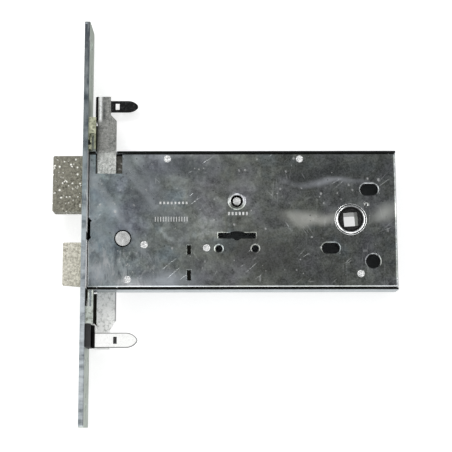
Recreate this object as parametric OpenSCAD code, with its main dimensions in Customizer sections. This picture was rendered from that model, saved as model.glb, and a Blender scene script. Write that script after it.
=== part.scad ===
// Mortise lock for a security door: sheet steel case, face plate, square
// deadbolt, bevelled spring latch and two rod slides that leave the case
// through its top and bottom walls.
// Frame: +Z runs up the face plate, +X runs from the face plate into the
// door, the case cover faces -Y. The origin is the centre of the outer face
// of the face plate. All sizes are millimetres.

/* [Face plate] */
// Height of the face plate
plate_h = 240; // [232:1:260]
// Width of the face plate
plate_w = 25; // [24:0.5:28]
// Distance from the plate centre to each fixing screw
plate_screw_z = 108; // [100:1:110]
// Radius of the fixing screw holes
plate_screw_r = 2.6; // [2.2:0.1:3]

/* [Case] */
// Depth from the outer face of the plate to the rear of the case
case_x = 184.2; // [183.5:0.1:190]
// Height of the case outside the tray walls
case_h = 82.6; // [82.6:0.1:84]
// Outside thickness of the case
case_t = 15.6; // [15.4:0.1:16]
// Thickness of the case sheet
sheet_t = 1.2; // [1:0.05:1.3]

/* [Handle hub] */
// Side of the square spindle hole
square_s = 8.1; // [7.1:0.1:8.3]
// Radius of the hub journal
hub_r = 7.74; // [7.7:0.01:7.76]
// Angle at which the square sits at rest
square_a = 4; // [0:0.5:8]

/* [Key] */
// Distance from the plate to the key axis
key_x = 90.4; // [90.2:0.1:90.6]
// Height of the key axis
key_z = -9.4; // [-9.8:0.1:-9]
// Length of the key slot
key_l = 22.2; // [20:0.1:23]
// Height of the key slot
key_h = 3.2; // [2.6:0.1:3.6]

// Radius of the two key escutcheon screw holes
esc_r = 2.1; // [1.8:0.05:2.3]

/* [Bolts] */
// Thickness of both bolts
bolt_t = 9.6; // [9:0.1:9.6]
// How far the thrown deadbolt stands out of the plate
dead_out = 18.3; // [16:0.1:20]
// How far the latch stands out of the plate
latch_out = 11.5; // [10:0.1:12]
// Lever thickness
lever_t = 1.6; // [1.3:0.1:1.7]

/* [Rod slides] */
// Sheet thickness of the rod slides
slide_t = 1.5; // [1.2:0.1:1.5]
// Distance of the tongue from the middle plane of the case
tongue_y = 8; // [7.6:0.1:8.2]
// Reach of the tongue from the plate
tongue_x = 32.8; // [30:0.1:36]

/* [Hidden] */
plate_t = 3;
hub_x = 157;
$fn = 64;
yo = case_t / 2;              // outer half thickness
yi = yo - sheet_t;            // inner half thickness
zo = case_h / 2;              // outer half height
zi = zo - 1.3;                // inner half height
zc = zi - 0.5;                // half height of the cover
bt = bolt_t / 2;
sl1 = 6.45;                   // outer face of a slide plate
sl0 = sl1 - slide_t;          // inner face of a slide plate
dead_z0 = 5.4; dead_z1 = 38.9;
latch_z0 = -38.3; latch_z1 = -13;
rod_z = -25.5;
post_x = 90.4; post_z = 11;
pillars = [[36.2, -14.9], [72.6, -16.8], [49.5, 36.3], [127.4, 36.2], [26.6, -35.3], [162.4, -32]];
esc = [[79.8, -17.2], [101.1, -17.2]];
stud = [166.3, 8.8];

// A flat outline drawn in X and Z, as thick as y0 to y1
module xz(y0, y1) { translate([0, y1, 0]) rotate([90, 0, 0]) linear_extrude(height = y1 - y0) children(); }
// A flat outline drawn in Y and Z, as thick as x0 to x1
module yz(x0, x1) { translate([x0, 0, 0]) rotate([90, 0, 90]) linear_extrude(height = x1 - x0) children(); }
// A round along Y
module cy(x, z, r, y0, y1) { translate([x, y1, z]) rotate([90, 0, 0]) cylinder(h = y1 - y0, r = r); }
// A round along X
module cx(y, z, r, x0, x1) { translate([x0, y, z]) rotate([0, 90, 0]) cylinder(h = x1 - x0, r = r); }
// A cone along Y, radius ra at ya and rb at yb, with ya under yb
module cone(x, z, ra, rb, ya, yb) { translate([x, ya, z]) rotate([-90, 0, 0]) cylinder(h = yb - ya, r1 = ra, r2 = rb); }
module box(a, b) { translate(a) cube(b - a); }
module rect(x0, z0, x1, z1) { translate([x0, z0]) square([x1 - x0, z1 - z0]); }
module dot(x, z, r) { translate([x, z]) circle(r = r); }
// A slot with round ends, length l and height h, along its first axis
module oval(x, z, l, h) { rect(x - l / 2 + h / 2, z - h / 2, x + l / 2 - h / 2, z + h / 2); dot(x - l / 2 + h / 2, z, h / 2); dot(x + l / 2 - h / 2, z, h / 2); }
// Broken edge around a slot with round ends, c wide and d deep
module oval_edge(x, z, l, h, c, d) {
  for (s = [-1, 1]) cone(x + s * (l - h) / 2, z, h / 2 + c, h / 2, -yo - 0.01, -yo + d);
  yz(x - (l - h) / 2, x + (l - h) / 2) polygon([[-yo - 0.01, z - h / 2 - c], [-yo + d, z - h / 2], [-yo + d, z + h / 2], [-yo - 0.01, z + h / 2 + c]]);
}
// Broken edges around a square hole, c wide and d deep
module square_edge(x0, z0, x1, z1, c, d) {
  intersection() {
    yz(x0 - c, x1 + c) polygon([[-yo - 0.01, z0 - c], [-yo + d, z0], [-yo + d, z1], [-yo - 0.01, z1 + c]]);
    translate([0, 0, z0 - c]) linear_extrude(height = z1 - z0 + 2 * c)
      polygon([[x0 - c, -yo - 0.01], [x0, -yo + d], [x1, -yo + d], [x1 + c, -yo - 0.01]]);
  }
}
// A rectangle with round corners
module rrect(x0, z0, x1, z1, r) {
  rect(x0 + r, z0, x1 - r, z1); rect(x0, z0 + r, x1, z1 - r);
  for (x = [x0 + r, x1 - r], z = [z0 + r, z1 - r]) dot(x, z, r);
}
// The key profile: a long slot, a round middle and a low arch over it
module key_profile() {
  rrect(key_x - key_l / 2, key_z - key_h / 2, key_x + key_l / 2, key_z + key_h / 2, 0.6);
  dot(key_x, key_z - 0.4, 2.4);
  intersection() { rect(key_x - 7, key_z, key_x + 7, key_z + 3); dot(key_x, key_z - 10.4, 12.9); }
}

module face_plate() {
  color([0.66, 0.7, 0.72]) difference() {
    yz(0, plate_t) rrect(-plate_w / 2, -plate_h / 2, plate_w / 2, plate_h / 2, 2);
    box([-1, -bt - 0.3, dead_z0 - 0.3], [plate_t + 1, bt + 0.3, dead_z1 + 0.3]);
    box([-1, -bt - 0.3, latch_z0 - 0.3], [plate_t + 1, bt + 0.3, latch_z1 + 0.3]);
    for (s = [-1, 1]) {
      cx(0, s * plate_screw_z, plate_screw_r, -1, plate_t + 1);
      translate([-0.01, 0, s * plate_screw_z]) rotate([0, 90, 0]) cylinder(h = 2.4, r1 = plate_screw_r + 2.4, r2 = plate_screw_r);
      cx(0, s * 46.5, 1.6, -1, plate_t + 1);
      for (y = [-7.2, 7.2]) cx(y, s * 55.5, 1.2, -1, plate_t + 1);
    }
  }
}

module tray_profile() {
  r = 1.6;
  difference() {
    union() {
      rect(-yo + 0.5, -zo, yo - r, zo); rect(-yo + 0.5, -zo + r, yo, zo - r);
      dot(yo - r, zo - r, r); dot(yo - r, -zo + r, r);
    }
    rect(-yo - 1, -zi, yi, zi);
  }
}
module case_tray() {
  color([0.5, 0.54, 0.56]) difference() {
    union() {
      yz(3.4, case_x) tray_profile();
      for (s = [-1, 1]) translate([4.5, -4.5, s > 0 ? zi : -51]) cube([1.2, 9, 51 - zi]);
      cy(hub_x, 0, 11.2, yi, yo);
    }
    // ways out for the two rod slides
    box([7.2, -yo - 1, zi - 1], [19.7, -sl0 + 0.2, zo + 1]);
    box([7.2, sl0 - 0.2, -zo - 1], [19.7, yo + 1, -zi + 1]);
    box([7.2, sl0 - 0.2, -zo - 1], [19.7, yo + 1, -27.5]);
    cy(hub_x, 0, 8.4, yi - 1, yo + 1);
    for (p = pillars) cy(p[0], p[1], 1.5, yi - 1, yo + 1);
    cy(23.7, -11.1, 2, yi - 1, yo + 1);
    cy(post_x, post_z, 1.8, yi - 1, yo + 1);
    cy(stud[0], stud[1], 1.2, yi - 1, yo + 1);
    cy(105.5, 36, 1.4, yi - 1, yo + 1);
    for (s = [-1, 1]) cx(0, s * 46.5, 1.6, 4, 6);
  }
}

module cover_profile() {
  r = 1.6;
  difference() {
    union() {
      rect(3.4, -yo, case_x - r, -yi); rect(case_x - sheet_t, -yo + r, case_x, yi - 0.1); dot(case_x - r, -yo + r, r);
      rect(case_x - 3, -yo, case_x - r, -yi);
    }
    rect(0, -yi, case_x - sheet_t, yi + 2);
  }
}
module case_cover() {
  color([0.36, 0.39, 0.4]) difference() {
    union() {
      translate([0, 0, -zc]) linear_extrude(height = 2 * zc) cover_profile();
      cy(post_x, post_z, 5.4, -yo - 0.05, -yo + 0.1);
      cone(post_x, post_z, 4.75, 5.4, -yo - 0.55, -yo - 0.05);
    }
    // notch for the upper rod slide
    box([7.2, -yo - 1, 27.5], [23, -yi + 1, zc + 1]);
    // worn hollow in the front edge
    xz(-yo - 1, -yi + 1) polygon([[3, 1.4], [3.6, 1.4], [5.5, -0.6], [4.7, -1.4], [4.7, -9.4], [5.3, -10.6], [3.6, -12.2], [3, -12.2]]);
    cy(hub_x, 0, 8.4, -yo - 1, -yi + 1);
    xz(-yo - 1, -yi + 1) key_profile();
    xz(-yo - 1, -yi + 1) oval(168.2, 17.9, 10.5, 6.9);
    oval_edge(168.2, 17.9, 10.5, 6.9, 0.6, 0.55);
    xz(-yo - 1, -yi + 1) oval(145.2, -16.9, 10.4, 6.3);
    oval_edge(145.2, -16.9, 10.4, 6.3, 0.6, 0.55);
    cy(169.8, -24.7, 4.15, -yo - 1, -yi + 1);
    cone(169.8, -24.7, 4.8, 4.15, -yo - 0.01, -yo + 0.55);
    square_edge(key_x - key_l / 2, key_z - key_h / 2, key_x + key_l / 2, key_z + key_h / 2, 0.4, 0.4);
    cone(key_x, key_z - 0.4, 2.8, 2.4, -yo - 0.01, -yo + 0.4);
    for (e = esc) {
      cy(e[0], e[1], esc_r, -yo - 1, -yi + 1);
      translate([e[0], -yo - 0.01, e[1]]) rotate([-90, 0, 0]) cylinder(h = 0.55, r1 = esc_r + 0.75, r2 = esc_r);
    }
    cy(post_x, post_z, 3.6, -yo - 1, -yi + 1);
    cone(post_x, post_z, 4.5, 3.6, -yo - 0.56, -yo + 0.1);
    cy(23.7, -11.1, 5.1, -yo - 1, -yi + 1);
    box([61.3, -yo - 1, -20.4], [63.5, -yi + 1, -15.1]);
    box([61.3, -yo - 1, -35.7], [63.5, -yi + 1, -29.8]);
    square_edge(61.3, -20.4, 63.5, -15.1, 0.35, 0.4);
    square_edge(61.3, -35.7, 63.5, -29.8, 0.35, 0.4);
    for (p = pillars) cy(p[0], p[1], 1.5, -yo - 1, -yi + 1);
    cy(stud[0], stud[1], 1.2, -yo - 1, -yi + 1);
    cy(179.8, 26, 1.1, -yo - 1, -yo + 0.5);
    // broken edges along the top, bottom and front of the sheet
    for (s = [-1, 1]) translate([0, -yo, s * zc]) rotate([45, 0, 0]) cube([400, 0.8, 0.8], center = true);
    translate([3.4, -yo, 0]) rotate([0, 0, 45]) cube([0.7, 0.7, 200], center = true);
  }
}

// Guide bracket: a base on the back of the face plate and two cheeks with a hooked cut
module guide_bracket(f) {
  difference() {
    union() {
      box([plate_t, -11.5, 41.6], [4.5, 11.5, 60.9]);
      for (y = [-11.5, 10]) box([plate_t, y, 41.6], [7.6, y + 1.5, 60.9]);
    }
    // hooked cut in the cheek towards the cover
    box([4.9, f, 41], [6.4, f + 2.5, 51.2]);
    box([3.6, f, 48.6], [6.4, f + 2.5, 51.2]);
    box([3.6, f, 46.2], [4.3, f + 2.5, 49]);
    box([plate_t - 1, -4.8, 41], [5, 4.8, 43.2]);
    cx(0, 46.5, 1.6, 2, 6);
    for (y = [-7.2, 7.2]) cx(y, 55.5, 1.2, 2, 6);
  }
}
module upper_guide_bracket() { color([0.6, 0.64, 0.58]) guide_bracket(-12); }
module lower_guide_bracket() { color([0.6, 0.66, 0.65]) rotate([180, 0, 0]) guide_bracket(9.5); }
// Black pad that keeps the bent end of the lower slide off the face plate
module lower_guide_pad() { color([0.06, 0.06, 0.06]) box([plate_t, -11.6, -74.3], [6.1, 6, -61.2]); }

module face_plate_rivets() {
  color([0.62, 0.62, 0.56]) for (s = [-1, 1]) {
    cx(0, s * 46.5, 1.6, 0.1, 5.7); cx(0, s * 46.5, 2.7, 5.7, 6.1);
    for (y = [-7.2, 7.2]) { cx(y, s * 55.5, 1.2, 0.1, 4.5); cx(y, s * 55.5, 2.2, 4.5, 5.2); }
  }
}

// One pillar: the ends are riveted over on the cover and on the tray
module pillar(x, z) {
  cy(x, z, 2, -yi, yi); cy(x, z, 1.5, -yo, yo);
  for (s = [-1, 1]) {
    cy(x, z, 2.1, s > 0 ? yo : -yo - 0.3, s > 0 ? yo + 0.3 : -yo);
    cy(x, z, 1.5, s > 0 ? yo : -yo - 0.45, s > 0 ? yo + 0.45 : -yo);
  }
}
module spacer_pillars() { color([0.75, 0.76, 0.76]) for (p = pillars) pillar(p[0], p[1]); }
module stop_post() {
  color([0.72, 0.73, 0.73]) { cy(23.7, -11.1, 4.3, -yo + 0.1, -5); cy(23.7, -11.1, 2.2, -5, yi); cy(23.7, -11.1, 2, yi, yo + 0.2); }
}
module lever_post() {
  color([0.7, 0.72, 0.72]) { cy(post_x, post_z, 2.3, -yo + 0.4, yi); cy(post_x, post_z, 1.8, yi, yo + 0.2); }
}
module lever_spring_post() {
  color([0.6, 0.6, 0.6]) { box([104, -6.2, 34.2], [107, yi, 38]); cy(105.5, 36, 1.4, yi, yo + 0.2); }
}

function lever_y(i) = -6.1 + 1.9 * (i - 1);
// A bowed leaf spring between the post and the top of one lever
function bow(t) = [103.9 - 20 * t, 36.6 - 5.9 * t * t - 1.2 * sin(180 * t)];
module lever_springs() {
  n = 14;
  color([0.55, 0.56, 0.6]) for (i = [1:4])
    xz(lever_y(i) + 0.3, lever_y(i) + lever_t - 0.3)
      polygon(concat([for (k = [0:n]) bow(k / n) + [0, 0.25]], [for (k = [n:-1:0]) bow(k / n) - [0, 0.1]]));
}

// The shoulder of the bush holds the hub journal in, a thin lip stands around the hub
module bush(s) {
  mirror([0, s > 0 ? 1 : 0, 0]) difference() {
    union() {
      cy(hub_x, 0, 8.4, -yo, -yi);
      cy(hub_x, 0, 9.4, -yo - 0.25, -yo); cone(hub_x, 0, 9.2, 9.4, -yo - 0.45, -yo - 0.25);
      cone(hub_x, 0, 7.9, 8.5, -yo - 0.85, -yo - 0.25);
    }
    // groove between the flange and the lip
    difference() { cy(hub_x, 0, 8.95, -yo - 1, -yo - 0.2); cone(hub_x, 0, 7.7, 8.6, -yo - 1.05, -yo - 0.15); }
    cy(hub_x, 0, 7.8, -yo + 0.2, -yi + 1);
    cy(hub_x, 0, 6.9, -yo - 2, -yi + 1);
    cone(hub_x, 0, 7.45, 6.9, -yo - 0.86, -yo - 0.35);
  }
}
module hub_bush_front() { color([0.72, 0.74, 0.73]) bush(-1); }
module hub_bush_rear() { color([0.72, 0.74, 0.73]) bush(1); }
module hub_spring_stud() {
  color([0.6, 0.6, 0.6]) difference() { union() {
    cy(stud[0], stud[1], 1.5, -yi, yi); cy(stud[0], stud[1], 1.2, -yo, yo);
    cy(stud[0], stud[1], 1.9, -yo - 0.35, -yo); cy(stud[0], stud[1], 1.9, yo, yo + 0.3);
  } cone(stud[0], stud[1], 1.35, 0.6, -yo - 0.36, -yo + 0.1); }
}

// Round wire swept along points p, with radial directions n
function ring(p, n, b, r, k) = [for (j = [0:k - 1]) p + r * (cos(360 * j / k) * n + sin(360 * j / k) * b)];
function unit(v) = v / norm(v);
module wire(pts, nrm, r, k) {
  m = len(pts);
  tan = [for (i = [0:m - 1]) unit(pts[min(i + 1, m - 1)] - pts[max(i - 1, 0)])];
  rings = [for (i = [0:m - 1]) let (b = unit(cross(tan[i], nrm[i])), n = cross(b, tan[i])) ring(pts[i], n, b, r, k)];
  polyhedron(points = [for (q = rings) each q],
    faces = concat([[for (j = [0:k - 1]) j]],
      [for (i = [0:m - 2], j = [0:k - 1]) [i * k + j, (i + 1) * k + j, (i + 1) * k + (j + 1) % k]],
      [for (i = [0:m - 2], j = [0:k - 1]) [i * k + j, (i + 1) * k + (j + 1) % k, i * k + (j + 1) % k]],
      [[for (j = [k - 1:-1:0]) (m - 1) * k + j]]));
}
module hub_spring() {
  n = 42; r = 2.4;
  coil = [for (i = [0:n]) let (a = 180 - 810 * i / n) [stud[0] + r * cos(a), -1.6 + 3.4 * i / n, stud[1] + r * sin(a)]];
  pts = concat([[160.15, -1.6, -13], [161.7, -1.6, -9], [164.9, -1.6, -3.5], [165.3, -1.6, 1], [164.3, -1.6, 5.5]], coil,
    [[175, 1.8, 10.4], [case_x - sheet_t - 0.8, 1.8, 12]]);
  color([0.5, 0.52, 0.56]) wire(pts, [for (p = pts) [0, 1, 0]], 0.45, 8);
}

module latch_guide() {
  color([0.62, 0.64, 0.66]) difference() {
    union() {
      box([61.5, -yi, -35.5], [63.3, yi, -15.3]);
      box([61.5, -yo + 0.5, -20.2], [63.3, -yi, -15.3]);
      box([61.5, -yo + 0.5, -35.5], [63.3, -yi, -30]);
    }
    cx(0, rod_z, 2.6, 60, 65);
  }
}

module deadbolt_head() {
  color([0.36, 0.33, 0.28]) difference() {
    box([-dead_out, -bt, dead_z0], [28, bt, dead_z1]);
    // pocket for the tail
    box([12, 1.6, 7.9], [29, 4.4, 30.1]);
    for (z = [14, 26]) cy(16, z, 1.5, -bt - 1, bt + 1);
    cy(22, 9.5, 2, -bt - 1, -1);
    cy(22, 20, 2, 0, bt + 1);
    // broken edges of the nose
    for (s = [-1, 1]) translate([-dead_out, s * bt, 22]) rotate([0, 0, 45]) cube([0.9, 0.9, 60], center = true);
    for (z = [dead_z0, dead_z1]) translate([-dead_out, 0, z]) rotate([0, 45, 0]) cube([0.9, 20, 0.9], center = true);
  }
}
module deadbolt_tail() {
  color([0.52, 0.54, 0.55]) difference() {
    xz(1.65, 4.35) difference() {
      union() {
        rect(12.1, 8, 28, 30); rect(28, 5.4, 122, 32);
        rect(66, -3, 100, 6);
      }
      // bite notches for the key
      for (x = [74.4, 82.4, 90.4]) { rect(x - 2.9, -4, x + 2.9, -0.4); dot(x, -0.4, 2.9); }
      oval(post_x - 8, post_z, 20.9, 4.9);
    }
    for (z = [14, 26]) cy(16, z, 1.5, 0, 6);
    cy(22, 20, 2, 0, 6);
    cy(82, 23, 2, 0, 6);
  }
}
module deadbolt_pins() { color([0.7, 0.7, 0.7]) for (z = [14, 26]) cy(16, z, 1.5, -bt, bt); }
module cam_studs() {
  color([0.68, 0.68, 0.68]) { cy(22, 9.5, 2, -sl1, -1); cy(22, 20, 2, 1.65, sl1); }
}
module bolt_stump() { color([0.66, 0.66, 0.64]) cy(82, 23, 2, -6.2, 4.35); }

// Slanted slot between two points
module slant(a, b, w) {
  d = b - a; l = norm(d);
  translate(a) rotate(atan2(d[1], d[0])) translate([0, -w / 2]) square([l, w]);
  dot(a[0], a[1], w / 2); dot(b[0], b[1], w / 2);
}
// The tongue a locking rod hooks onto
module tongue_outline(z0, z1, tip, sx, sw) {
  zm = (z0 + z1) / 2; h = (z1 - z0) / 2; n = 0.5 * h; d = 4.2; x0 = tip - n - d;
  r = (d * d + h * h - n * n) / (2 * (h - n));
  difference() {
    union() {
      rect(8.4, z0, x0, z1);
      intersection() { rect(x0 - 0.1, z0 - 1, tip - n + d * n / (r - n), z1 + 1); dot(x0, z1 - r, r); dot(x0, z0 + r, r); }
      dot(tip - n, zm, n);
    }
    rect(sx, zm - 2.05, sx + sw, zm + 2.05);
  }
}
// Bent end of a slide: plate flange, web and tongue flange, seen along Z
module bend_profile() {
  r = 2.2;
  difference() {
    rrect(6.4, -sl1, 15.5, tongue_y + 1.5, r);
    rrect(6.4 + slide_t, -sl0, 20, tongue_y, 0.7);
    rect(13, -sl1 - 1, 20, tongue_y + 3);
  }
}
module slide_end(z0, z1, tip, sx, sw) {
  difference() {
    translate([0, 0, 61]) linear_extrude(height = z1 - 61) bend_profile();
    // the web is lower than the tongue at its outer end
    box([0, -sl0 - 3, z1 > 75 ? 74.7 : 78], [20, tongue_y - 0.5, 79]);
    // the tongue flange starts above the plate flange
    box([0, tongue_y - 0.3, 60], [20, tongue_y + 3, z0]);
  }
  xz(tongue_y, tongue_y + 1.5) tongue_outline(z0, z1, tip, sx, sw);
}
module upper_rod_slide() {
  color([0.55, 0.56, 0.55]) {
    slide_end(69.1, 76, tongue_x - 2.1, 17, 2.5);
    xz(-sl1, -sl0) difference() {
      union() {
        polygon([[7.8, 26.4], [19.1, 26.4], [19.1, 59.9], [15.5, 63.7], [15.5, 74.7], [8.6, 74.7], [8.6, 61], [7.8, 60.2]]);
        rrect(8, 5.2, 43, 26.5, 1.5);
      }
      slant([22, 9.5], [38, 21.5], 4.2);
    }
  }
}
module lower_rod_slide() {
  color([0.8, 0.82, 0.8]) {
    rotate([180, 0, 0]) slide_end(66.3, 74.8, tongue_x, 19, 2.1);
    xz(sl0, sl1) difference() {
      union() {
        polygon([[7.8, 3], [19.1, 3], [19.1, -57.9], [15.5, -63.7], [15.5, -74.8], [8.6, -74.8], [8.6, -61], [7.8, -60.2]]);
        rrect(7.8, 2.6, 43, 24.8, 1.5);
      }
      slant([22, 20], [38, 8], 4.2);
    }
  }
}

module handle_hub() {
  color([0.42, 0.42, 0.42]) difference() {
    union() {
      cy(hub_x, 0, hub_r, -yo + 0.35, yo - 0.35);
      for (s = [-1, 1]) cy(hub_x, 0, 6.3, s > 0 ? yo - 0.4 : -yo - 0.3, s > 0 ? yo + 0.3 : -yo + 0.4);
      for (s = [-1, 1]) cy(hub_x, 0, 9, s > 0 ? 3.4 : -5.6, s > 0 ? 5.6 : -3.4);
      box([hub_x - 2.5, -2, -23], [hub_x + 2.4, 2, -4]);
      cy(hub_x, -23, 2.4, -2, 2);
    }
    // waist that clears the return spring
    difference() { cy(hub_x, 0, 12, -3.4, 3.4); cy(hub_x, 0, 6.8, -3.5, 3.5); box([hub_x - 2.5, -2, -30], [hub_x + 2.4, 2, -4]); cy(hub_x, -23, 2.4, -2, 2); }
    translate([hub_x, 0, 0]) rotate([0, -square_a, 0]) cube([square_s, 40, square_s], center = true);
    // dished faces
    for (s = [0, 1]) mirror([0, s, 0]) cone(hub_x, 0, 6, 4.7, -yo - 0.31, -yo + 0.6);
  }
}
module latch_yoke() {
  color([0.6, 0.6, 0.58]) difference() {
    union() {
      box([124, -5.3, -29.2], [161.8, -3.8, -21.8]);
      box([124, -5.3, -29.2], [126, 4, -21.8]);
      box([159.8, -5.3, -29.2], [161.8, 2.2, -21.8]);
    }
    cx(0, rod_z, 2.6, 123, 127);
  }
}
module latch_head() {
  color([0.66, 0.62, 0.55]) difference() {
    translate([0, 0, latch_z0]) linear_extrude(height = latch_z1 - latch_z0)
      polygon([[-latch_out, -bt], [-latch_out, -bt + 1.6], [-1.2, bt], [4.3, bt], [4.3, -bt]]);
    box([2, -bt - 1, latch_z1 - 1.6], [5, bt + 1, latch_z1 + 1]);
    cx(0, rod_z, 2.5, -2, 5);
    translate([1.4, 0, -31]) cylinder(h = 11, r = 1);
    // broken edges
    for (z = [latch_z0, latch_z1]) translate([-latch_out, 0, z]) rotate([0, 45, 0]) cube([0.7, 20, 0.7], center = true);
  }
}
module latch_rod() {
  color([0.6, 0.6, 0.6]) difference() { cx(0, rod_z, 2.5, -2, 134); translate([1.4, 0, -31]) cylinder(h = 11, r = 1); }
}
module latch_cross_pin() { color([0.7, 0.7, 0.7]) translate([1.4, 0, -31]) cylinder(h = 11, r = 1); }
module latch_nut() {
  color([0.7, 0.66, 0.5]) difference() {
    translate([126.1, 0, rod_z]) rotate([0, 90, 0]) cylinder(h = 5, r = 4.04, $fn = 6);
    cx(0, rod_z, 2.5, 120, 140);
  }
}
module latch_spring() {
  n = 190; t = 13.5; r = 3.45; x0 = 4.9; x1 = 60.8;
  pts = [for (i = [0:n]) let (a = 360 * t * i / n) [x0 + (x1 - x0) * i / n, r * cos(a), rod_z + r * sin(a)]];
  color([0.6, 0.62, 0.64]) wire(pts, [for (i = [0:n]) let (a = 360 * t * i / n) [0, cos(a), sin(a)]], 0.5, 6);
}

// One lever tumbler: legs either side of the key, a slot for the post and a gate for the stump
module lever(i, belly) {
  xz(lever_y(i), lever_y(i) + lever_t) difference() {
    union() { rect(74.9, -20.2, 105.9, 29.2); rect(78, 29, 90, 30.4); }
    rect(77.2, -21, 103.6, key_z + belly - 3);
    intersection() { rect(77.2, key_z, 103.6, key_z + 14); dot(key_x, key_z + belly - 13.2, 13.2); }
    rect(77.2, key_z + belly - 3.05, 103.6, key_z + belly - 3);
    rrect(post_x - 2.45, post_z - 2.3 - 1.5, post_x + 2.45, post_z + 2.3 + 2.8, 0.6);
    rrect(79.7, 23 - 2.2 - 1.5, 84.4, 23 + 2.2 + 2.8, 0.4);
    rrect(95.7, 23 - 2.2 - 1.5, 100.4, 23 + 2.2 + 2.8, 0.4);
    rect(82, 23 - 2.2, 98, 23 + 2.2);
  }
}
module lever_1() { color([0.76, 0.62, 0.35]) lever(1, 9.4); }
module lever_2() { color([0.76, 0.62, 0.35]) lever(2, 10.1); }
module lever_3() { color([0.76, 0.62, 0.35]) lever(3, 9.0); }
module lever_4() { color([0.76, 0.62, 0.35]) lever(4, 9.8); }

face_plate();
case_tray();
case_cover();
upper_guide_bracket();
lower_guide_bracket();
face_plate_rivets();
spacer_pillars();
stop_post();
lever_post();
lever_spring_post();
lever_springs();
hub_bush_front();
hub_bush_rear();
hub_spring_stud();
hub_spring();
latch_guide();
lower_guide_pad();
deadbolt_head();
deadbolt_tail();
deadbolt_pins();
cam_studs();
bolt_stump();
upper_rod_slide();
lower_rod_slide();
handle_hub();
latch_yoke();
latch_head();
latch_rod();
latch_cross_pin();
latch_nut();
latch_spring();
lever_1();
lever_2();
lever_3();
lever_4();
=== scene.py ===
import bpy, bmesh, math
from mathutils import Vector, Matrix


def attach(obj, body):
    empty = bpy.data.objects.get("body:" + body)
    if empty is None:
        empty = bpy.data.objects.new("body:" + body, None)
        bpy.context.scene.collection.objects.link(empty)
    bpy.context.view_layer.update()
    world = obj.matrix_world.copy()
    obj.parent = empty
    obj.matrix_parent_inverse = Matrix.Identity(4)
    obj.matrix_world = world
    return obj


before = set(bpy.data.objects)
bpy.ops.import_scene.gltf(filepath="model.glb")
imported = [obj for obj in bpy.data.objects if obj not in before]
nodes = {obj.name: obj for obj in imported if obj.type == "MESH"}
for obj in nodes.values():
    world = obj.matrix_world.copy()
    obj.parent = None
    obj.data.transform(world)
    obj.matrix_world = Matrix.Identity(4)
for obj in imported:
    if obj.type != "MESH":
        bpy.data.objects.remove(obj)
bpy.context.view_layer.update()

MM = 0.001
scene = bpy.context.scene

# ------------------------------------------------------------------ camera
YAW, PITCH, ROLL = math.radians(0.18), math.radians(9.51), math.radians(-0.12)
fwd = Vector((math.sin(YAW) * math.cos(PITCH), math.cos(YAW) * math.cos(PITCH), math.sin(PITCH)))
right = Vector((math.cos(YAW), -math.sin(YAW), 0.0))
up = right.cross(fwd)
r2 = right * math.cos(ROLL) + up * math.sin(ROLL)
u2 = -right * math.sin(ROLL) + up * math.cos(ROLL)
cam_data = bpy.data.cameras.new("camera")
cam = bpy.data.objects.new("camera", cam_data)
scene.collection.objects.link(cam)
rot = Matrix((r2, u2, -fwd)).transposed()
cam.matrix_world = Matrix.Translation(Vector((81.8, -699.9, -119.8)) * MM) @ rot.to_4x4()
cam_data.sensor_width = 36.0
cam_data.lens = 1200.0 / 452.0 * 36.0
cam_data.clip_start, cam_data.clip_end = 0.01, 20.0
cam_data.dof.use_dof = False
scene.camera = cam


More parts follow.
